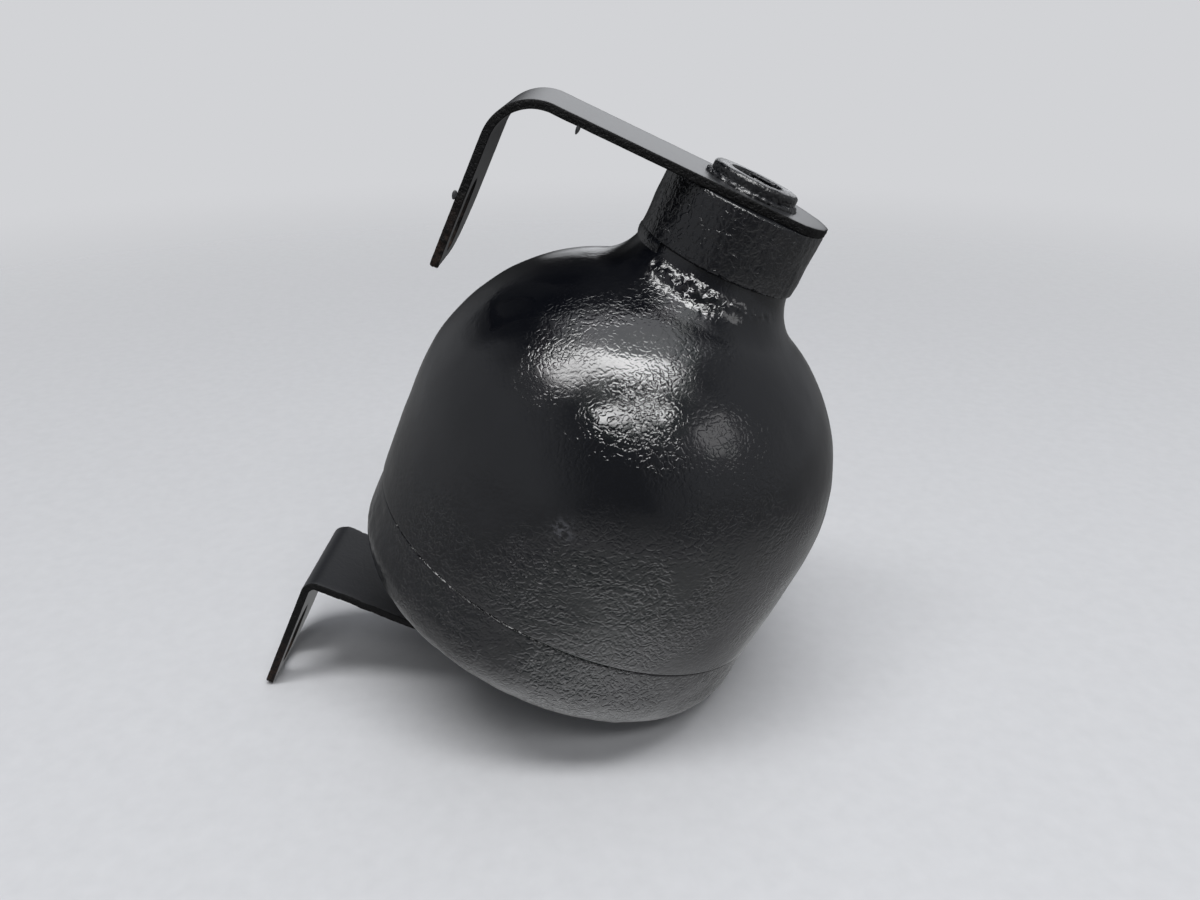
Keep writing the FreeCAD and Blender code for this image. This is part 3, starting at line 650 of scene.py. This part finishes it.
# %% Enamel over different skins
def enamel(name, colour, sheen, wrinkle, wrinkle_height, peel, peel_height, mask=None, cloudy="#0e0f14"):
    """Enamel with wrinkles and orange peel as bumps, both given by spacing and height in mm.

    A wrinkle's height is smoothstep(abs(noise - 0.5) / 0.13): narrow creases between flat islands.
    sheen is the mean roughness, cloudy the second colour of slow clouds in the paint, and mask names
    an attribute that says where the wrinkles are strong.
    """
    material, tree, shader, place = begin(name, IOR=1.8)
    noise = add(tree, "TexNoise", {"Vector": place, "Scale": per_mm(wrinkle), "Detail": 1.5, "Distortion": 0.3})
    creases = add(tree, "Math", {0: noise.outputs[0], 1: 0.5}, operation="SUBTRACT")
    creases = add(tree, "Math", {0: creases.outputs[0]}, operation="ABSOLUTE")
    leather = add(tree, "MapRange", {0: creases.outputs[0], 1: 0.0, 2: 0.13}, interpolation_type="SMOOTHSTEP")
    if mask:
        amount = add(tree, "Attribute", attribute_name=mask)
        patchy = add(tree, "TexNoise", {"Vector": place, "Scale": per_mm(14), "Detail": 2.0})
        patchy = add(tree, "MapRange", {0: patchy.outputs[0], 1: 0.4, 2: 0.58, 3: 0.3, 4: 1.1},
                     interpolation_type="SMOOTHSTEP")
        amount = add(tree, "Math", {0: amount.outputs["Fac"], 1: patchy.outputs[0]}, operation="MULTIPLY")
        leather = add(tree, "Math", {0: leather.outputs[0], 1: amount.outputs[0]}, operation="MULTIPLY")
    coarse = add(tree, "Bump", {"Height": leather.outputs[0], "Distance": wrinkle_height / 1000})
    grain = add(tree, "TexNoise", {"Vector": place, "Scale": per_mm(peel), "Detail": 2.0})
    fine = add(tree, "Bump", {"Height": grain.outputs[0], "Distance": peel_height / 1000,
                              "Normal": coarse.outputs[0]})
    tree.links.new(fine.outputs[0], shader.inputs["Normal"])
    cloud = add(tree, "TexNoise", {"Vector": place, "Scale": per_mm(22), "Detail": 4.0})
    gloss = add(tree, "MapRange", {0: cloud.outputs[0], 1: 0.35, 2: 0.68, 3: sheen - 0.05, 4: sheen + 0.09},
                interpolation_type="SMOOTHSTEP")
    tree.links.new(gloss.outputs[0], shader.inputs["Roughness"])
    tint = add(tree, "Mix", {0: cloud.outputs[0], 6: linear(colour), 7: linear(cloudy)}, data_type="RGBA")
    tree.links.new(tint.outputs[2], shader.inputs["Base Color"])
    return material, tree, shader, place, tint.outputs[2]


shell_paint, tree, shader, place, tint = enamel("gloss black enamel over pitted steel", "#07090e", 0.15, 1.4, 0.05,
                                                0.35, 0.004, "peel")
scuffed = add(tree, "Attribute", attribute_name="scuff")
speck = add(tree, "TexNoise", {"Vector": place, "Scale": per_mm(0.9), "Detail": 3.0})
speck = add(tree, "MapRange", {0: speck.outputs[0], 1: 0.45, 2: 0.62, 3: 0.0, 4: 1.0})
scuffed = add(tree, "Math", {0: scuffed.outputs["Fac"], 1: speck.outputs[0]}, operation="MULTIPLY")
rubbed = add(tree, "Mix", {0: scuffed.outputs[0], 6: tint, 7: linear("#4a4b50")}, data_type="RGBA")
tree.links.new(rubbed.outputs[2], shader.inputs["Base Color"])
for piece in (bell, cap):
    piece.data.materials.append(shell_paint)

boss_paint, *_ = enamel("satin black enamel over turned steel", "#07090e", 0.22, 1.6, 0.08, 0.5, 0.008)
boss.data.materials.append(boss_paint)
weld_paint, *_ = enamel("gloss black enamel over a weld bead", "#07090e", 0.18, 1.3, 0.04, 0.4, 0.008)
for piece in (spigot_bead, pad_bead, collar_bead):
    piece.data.materials.append(weld_paint)
plug_paint, *_ = enamel("satin black enamel over a forged plug", "#101216", 0.34, 1.4, 0.04, 0.4, 0.02)
print("enamels:", [m.name for m in bpy.data.materials if "enamel" in m.name])

# %% [markdown]
# ## Strap paint, worn at its edges
#
# The straps got the same enamel, thinner, greyer and more satin. Their sheared walls are torn and
# mirror almost nothing, so they get a matt black of their own. On both, brown rust comes through
# towards the leg tips. The edge attribute is 1 on the cut walls and fades over half a millimetre; the
# down attribute grows from 0 at the bend to 1 at the tip.

# %% Strap enamel with rust
strap_paint, tree, shader, place, tint = enamel("satin black enamel over sheet steel", "#1a1b1e", 0.3, 2.0, 0.008,
                                                0.35, 0.008, cloudy="#2c2d30")


def rust_towards_the_tip(tree, shader, place, paint, satin):
    """Brown rust where the edge mark is high, more of it down the leg; elsewhere paint and its sheen."""
    edge = add(tree, "Attribute", attribute_name="edge").outputs["Fac"]
    down = add(tree, "Attribute", attribute_name="down").outputs["Fac"]
    flake = add(tree, "TexNoise", {"Vector": place, "Scale": per_mm(1.6), "Detail": 5.0, "Roughness": 0.65})
    flake = flake.outputs[0]
    cut_edge = add(tree, "MapRange", {0: edge, 1: 0.6, 2: 0.98}).outputs[0]
    low_down = add(tree, "MapRange", {0: down, 1: 0.4, 2: 1.05}).outputs[0]
    flaked = add(tree, "MapRange", {0: flake, 1: 0.42, 2: 0.58, 3: 0.1}).outputs[0]
    bare = add(tree, "Math", {0: cut_edge, 1: low_down}, operation="MULTIPLY").outputs[0]
    bare = add(tree, "Math", {0: bare, 1: flaked}, operation="MULTIPLY").outputs[0]
    rust = add(tree, "Mix", {0: flake, 6: linear("#1c1410"), 7: linear("#45342a")}, data_type="RGBA").outputs[2]
    skin = add(tree, "Mix", {0: bare, 6: paint, 7: rust}, data_type="RGBA").outputs[2]
    tree.links.new(skin, shader.inputs["Base Color"])
    rough = add(tree, "Math", {0: edge, 1: 0.2, 2: satin}, operation="MULTIPLY_ADD").outputs[0]
    rough = add(tree, "Mix", {0: bare, 2: rough, 3: 0.85}).outputs[0]
    tree.links.new(rough, shader.inputs["Roughness"])


rust_towards_the_tip(tree, shader, place, tint, 0.3)
torn_paint, tree, shader, place, tint = enamel("thin matt black paint over a torn edge", "#040405", 0.6, 0.9, 0.12,
                                               0.3, 0.03, cloudy="#08080a")
shader.inputs["Specular IOR Level"].default_value = 0.15
rust_towards_the_tip(tree, shader, place, tint, 0.5)
for piece in (upper_strap, lower_strap):
    piece.data.materials.append(strap_paint)
    piece.data.materials.append(torn_paint)
for piece in (nib, drip):
    piece.data.materials.append(strap_paint)
print("strap paints:", strap_paint.name, "and", torn_paint.name)

# %% [markdown]
# ## Turned metals
#
# Rings, washers and button were turned or stamped, and never painted. A lathe tool leaves fine rings
# about the axis. So the noise reads radius and height instead of the place itself: it then runs in
# circles, 0.25 mm apart, and the eye sees the fan-shaped gleam of turned metal.

# %% Turned and rolled metals
def turned_metal(name, colour, roughness, rings):
    """Bare metal with tool marks: noise over (distance from the axis, height), and a slow tarnish."""
    material, tree, shader, place = begin(name, Metallic=1.0)
    parts = add(tree, "SeparateXYZ", {0: place})
    flat = add(tree, "CombineXYZ", {0: parts.outputs[0], 1: parts.outputs[1]})
    radius = add(tree, "VectorMath", {0: flat.outputs[0]}, operation="LENGTH")
    lathe = add(tree, "CombineXYZ", {0: radius.outputs["Value"], 2: parts.outputs[2]})
    marks = add(tree, "TexNoise", {"Vector": lathe.outputs[0], "Scale": per_mm(rings), "Detail": 3.0})
    bump = add(tree, "Bump", {"Height": marks.outputs[0], "Distance": rings * 0.00004})
    tree.links.new(bump.outputs[0], shader.inputs["Normal"])
    tarnish = add(tree, "TexNoise", {"Vector": place, "Scale": per_mm(9), "Detail": 4.0})
    dull = "#" + "".join(f"{int(int(colour[i:i + 2], 16) * 0.8):02x}" for i in (1, 3, 5))
    tint = add(tree, "Mix", {0: tarnish.outputs[0], 6: linear(colour), 7: linear(dull)}, data_type="RGBA")
    tree.links.new(tint.outputs[2], shader.inputs["Base Color"])
    gloss = add(tree, "MapRange", {0: tarnish.outputs[0], 1: 0.3, 2: 0.7, 3: roughness - 0.06, 4: roughness + 0.1})
    tree.links.new(gloss.outputs[0], shader.inputs["Roughness"])
    return material


ring_steel = turned_metal("turned mild steel", "#adadaf", 0.32, 0.25)
spring_steel = turned_metal("rolled spring steel", "#95979d", 0.24, 0.12)
washer_steel = turned_metal("stamped steel", "#bcbcbc", 0.36, 0.5)
rivet_brass = turned_metal("turned brass", "#cbaf74", 0.28, 0.2)
button_aluminium = turned_metal("turned aluminium", "#d3d3d4", 0.34, 0.25)
print("metals:", ring_steel.name, spring_steel.name, washer_steel.name, rivet_brass.name, button_aluminium.name)

# %% [markdown]
# ## Sintered steel and rubber
#
# The valve's body is pressed from iron powder, so it is grey, dull and full of fine pores. The
# diaphragm and the seal are moulded rubber: nearly black, matt, with a soft bloom.

# %% Sintered steel and moulded rubber
sintered_steel, tree, shader, place = begin("sintered steel", Metallic=1.0)
pores = add(tree, "TexVoronoi", {"Vector": place, "Scale": per_mm(0.35)}).outputs[0]
grains = add(tree, "TexNoise", {"Vector": place, "Scale": per_mm(0.2), "Detail": 4.0}).outputs[0]
bump = add(tree, "Bump", {"Height": pores, "Distance": 0.00004}).outputs[0]
tree.links.new(bump, shader.inputs["Normal"])
tint = add(tree, "Mix", {0: grains, 6: linear("#5b5b5c"), 7: linear("#86868a")}, data_type="RGBA").outputs[2]
tree.links.new(tint, shader.inputs["Base Color"])
tree.links.new(add(tree, "MapRange", {0: grains, 3: 0.45, 4: 0.7}).outputs[0], shader.inputs["Roughness"])


def rubber(name, dark, bloom, spacing):
    """Moulded rubber: matt black with a cloudy bloom, and a faint grain from the mould."""
    material, tree, shader, place = begin(name, IOR=1.52)
    cloud = add(tree, "TexNoise", {"Vector": place, "Scale": per_mm(6), "Detail": 5.0}).outputs[0]
    grain = add(tree, "TexNoise", {"Vector": place, "Scale": per_mm(spacing), "Detail": 3.0}).outputs[0]
    tint = add(tree, "Mix", {0: cloud, 6: linear(dark), 7: linear(bloom)}, data_type="RGBA").outputs[2]
    tree.links.new(tint, shader.inputs["Base Color"])
    tree.links.new(add(tree, "MapRange", {0: cloud, 3: 0.5, 4: 0.8}).outputs[0], shader.inputs["Roughness"])
    tree.links.new(add(tree, "Bump", {"Height": grain, "Distance": 0.00003}).outputs[0], shader.inputs["Normal"])
    return material


diaphragm_rubber = rubber("moulded diaphragm rubber", "#191919", "#2a2a2b", 0.6)
seal_rubber = rubber("moulded seal rubber", "#161616", "#232324", 0.3)
print("rubbers:", diaphragm_rubber.name, "and", seal_rubber.name)

# %% Finishes of the solids that stay
finishes = {
    "gas_plug": plug_paint, "gas_plug_seal": seal_rubber, "diaphragm": diaphragm_rubber,
    "diaphragm_button": button_aluminium, "button_washer": washer_steel, "backing_ring": ring_steel,
    "clamp_ring": ring_steel, "damper_body": sintered_steel, "damper_upper_leaf": spring_steel,
    "damper_lower_leaf": spring_steel, "damper_upper_washer": washer_steel, "damper_lower_washer": washer_steel,
    "damper_rivet": rivet_brass, "damper_snap_ring": spring_steel,
}
for name, finish in finishes.items():
    for material_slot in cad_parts[name].material_slots:
        material_slot.material = finish
print("finished", len(finishes), "solids that stay as they are")

# %% [markdown]
# ## Floor
#
# The piece leans on its lower leg and on the edge of the lower strap, so in the part's own frame the
# floor is what leans. Its tilt follows from the two points that touch. The floor is pale and one-sided:
# seen from below it vanishes, so that the underside can be looked at too. It fades out before its rim.
# Black gloss shows the floor as a mirror does. So a glossy ray meets a glowing floor of its own, a painted
# reflection:
# bright in front of the piece, a painted shadow right under it and dimmer far out.

# %% Floor through the two points that touch
touch = np.array([lower.end, PAD_FACE - SHEET])
tip = np.array([SHEET - LEG_FACE, PAD_FACE - lower.leg])
lean = math.atan2(touch[1] - tip[1], touch[0] - tip[0])
UP = Vector((-math.sin(lean), 0, math.cos(lean)))
side = (right - right.dot(UP) * UP).normalized()
away = UP.cross(side)
middle = Vector((0, 0, SEAM / 1000))
floor_at = middle + UP * ((UP.x * touch[0] + UP.z * touch[1] - 0.05) / 1000)
ring_size, radii = 96, np.array([0.004, 0.1, 0.2, 0.3, 0.4, 0.6, 0.85])
a = np.linspace(0, 2 * math.pi, ring_size, endpoint=False)
disc = np.array(floor_at) + radii[:, None, None] * (
    np.cos(a)[None, :, None] * np.array(side) + np.sin(a)[None, :, None] * np.array(away))
i, j = np.meshgrid(np.arange(len(radii) - 1), np.arange(ring_size), indexing="ij")
j2 = (j + 1) % ring_size
quads = np.stack([i * ring_size + j, (i + 1) * ring_size + j, (i + 1) * ring_size + j2, i * ring_size + j2], -1)
floor_mesh = bpy.data.meshes.new("floor")
floor_mesh.from_pydata(disc.reshape(-1, 3).tolist(), [], quads.reshape(-1, 4).tolist() + [list(range(ring_size))])
floor = bpy.data.objects.new("floor", floor_mesh)
bpy.context.scene.collection.objects.link(floor)
print("lean", round(math.degrees(lean), 2), "degrees, floor", round((floor_at - middle).length * 1000, 2), "mm down")

# %% Floor material
floor_paper_and_painted_reflection, tree, shader, place = begin("pale paper with painted reflection", Roughness=0.9)
fibre = add(tree, "TexNoise", {"Vector": place, "Scale": per_mm(4), "Detail": 4.0}).outputs[0]
tint = add(tree, "Mix", {0: fibre, 6: linear("#c9cacd"), 7: linear("#d3d4d7")}, data_type="RGBA").outputs[2]
tree.links.new(tint, shader.inputs["Base Color"])
outwards = add(tree, "VectorMath", {0: place, 1: tuple(floor_at)}, operation="DISTANCE").outputs["Value"]
fade = add(tree, "MapRange", {0: outwards, 1: 0.2, 2: 0.8}, interpolation_type="SMOOTHSTEP").outputs[0]
back = add(tree, "NewGeometry").outputs["Backfacing"]
gone = add(tree, "Math", {0: fade, 1: back}, operation="MAXIMUM").outputs[0]
clear = add(tree, "BsdfTransparent").outputs[0]
# Painted light: glossy rays see a glowing emission in place of the paper. It is a painted reflection of a lit floor,
# with a painted shadow where the piece stands.
pool_at = floor_at - 0.058 * away
near = add(tree, "VectorMath", {0: place, 1: tuple(pool_at)}, operation="DISTANCE").outputs["Value"]
painted_glow = 1.0
# Steps of the painted glow: bright in front, a painted shadow where the piece stands, dimmer far out.
for distance, start, end, inside, beyond in (
        (near, 0.008, 0.06, 1.15, 0.38),  # bright in front of the piece
        (outwards, 0.026, 0.048, 0.12, 1.0),  # dark where it stands
        (near, 0.08, 0.22, 1.0, 0.5)):  # dimmer far out
    step = add(tree, "MapRange", {0: distance, 1: start, 2: end, 3: inside, 4: beyond},
               interpolation_type="SMOOTHSTEP").outputs[0]
    painted_glow = add(tree, "Math", {0: painted_glow, 1: step}, operation="MULTIPLY").outputs[0]
painted_reflection = add(tree, "Emission", {"Color": linear("#fafbfd"), "Strength": painted_glow}).outputs[0]
glossy = add(tree, "LightPath").outputs["Is Glossy Ray"]
paper = add(tree, "MixShader", {0: glossy, 1: shader.outputs[0], 2: painted_reflection}).outputs[0]
surface = add(tree, "MixShader", {0: gone, 1: paper, 2: clear}).outputs[0]
output = next(node for node in tree.nodes if node.type == "OUTPUT_MATERIAL")
tree.links.new(surface, output.inputs["Surface"])
floor.data.materials.append(floor_paper_and_painted_reflection)
print("floor is", floor_paper_and_painted_reflection.name)

# %% [markdown]
# ## Lamps and world
#
# Gloss black shows little of itself and much of the room, so the lamps are placed by where their
# reflections fall. A long softbox overhead gives the bright band on the shoulder, a second one behind
# the camera the gleam below it, and a small side lamp the soft spot at the right. The room is grey at
# both sides and darker ahead and behind. A glow in the ceiling and a low window ahead lighten the strap
# and the neck, and one corner is darker. The camera sees a plain pale backdrop instead of the room.

# %% Lamps placed by azimuth and height angle
def towards(azimuth, elevation):
    """Direction cos e * (cos a * away + sin a * side) + sin e * UP; azimuth a runs clockwise from ahead."""
    az, el = math.radians(azimuth), math.radians(elevation)
    return math.cos(el) * (math.cos(az) * away + math.sin(az) * side) + math.sin(el) * UP


def lamp(name, azimuth, elevation, distance, width, height, watts):
    """Area lamp that looks at the sphere's middle from a distance in metres."""
    direction = towards(azimuth, elevation)
    across = UP.cross(direction).normalized()
    data = bpy.data.lights.new(name, "AREA")
    data.shape, data.size, data.size_y, data.energy = "RECTANGLE", width, height, watts
    light = bpy.data.objects.new(name, data)
    light.matrix_world = Matrix((across, direction.cross(across), direction)).transposed().to_4x4()
    light.location = middle + Vector((0, 0, 0.03)) + direction * distance
    bpy.context.scene.collection.objects.link(light)
    return light


lamp("overhead softbox", 183, 74, 1.5, 1.65, 0.4, 17.5)
lamp("second softbox", 167, 46, 1.5, 1.05, 0.2, 5.2)
lamp("side lamp", 121, 26, 1.0, 0.34, 0.26, 0.28)

world = bpy.data.worlds.new("pale room")
bpy.context.scene.world = world
world.use_nodes = True
tree = world.node_tree
tree.nodes.clear()
heading = add(tree, "TexCoord").outputs["Generated"]


def patch(direction, edge, full, around, inside):
    """Light round a direction: a smooth step over the cosine between it and a ray's heading."""
    near = add(tree, "VectorMath", {0: heading, 1: tuple(direction)}, operation="DOT_PRODUCT").outputs["Value"]
    return add(tree, "MapRange", {0: near, 1: edge, 2: full, 3: around, 4: inside},
               interpolation_type="SMOOTHSTEP").outputs[0]


ends = patch(away, -0.5, 0.3, 0.1, 0.03)
walls = patch(UP, 0.55, 0.85, 0.3, 0.06)
sideways = add(tree, "VectorMath", {0: heading, 1: tuple(side)}, operation="DOT_PRODUCT").outputs["Value"]
sideways = add(tree, "Math", {0: sideways}, operation="ABSOLUTE").outputs[0]
sideways = add(tree, "MapRange", {0: sideways, 1: 0.15, 2: 0.75}, interpolation_type="SMOOTHSTEP").outputs[0]
room = add(tree, "Mix", {0: sideways, 2: ends, 3: walls}).outputs[0]
dark_corner = patch(towards(-38, 46), 0.86, 0.96, 1.0, 0.2)
room = add(tree, "Math", {0: room, 1: dark_corner}, operation="MULTIPLY").outputs[0]
window = patch(towards(8, 8), 0.95, 0.99, 0.0, 1.25)
room = add(tree, "Math", {0: room, 1: window}, operation="ADD").outputs[0]
ceiling = patch(towards(38.3, 76), 0.82, 0.98, 0.0, 1.2)
room = add(tree, "Math", {0: room, 1: ceiling}, operation="ADD").outputs[0]
seen = add(tree, "LightPath").outputs["Is Camera Ray"]
backdrop = add(tree, "Background", {"Color": linear("#d2d3d6")}).outputs[0]
ambient = add(tree, "Background", {"Color": linear("#eceef2"), "Strength": room}).outputs[0]
mixed = add(tree, "MixShader", {0: seen, 1: ambient, 2: backdrop}).outputs[0]
add(tree, "OutputWorld", {"Surface": mixed})

# %% Plain view transform
bpy.context.scene.view_settings.view_transform = "Standard"
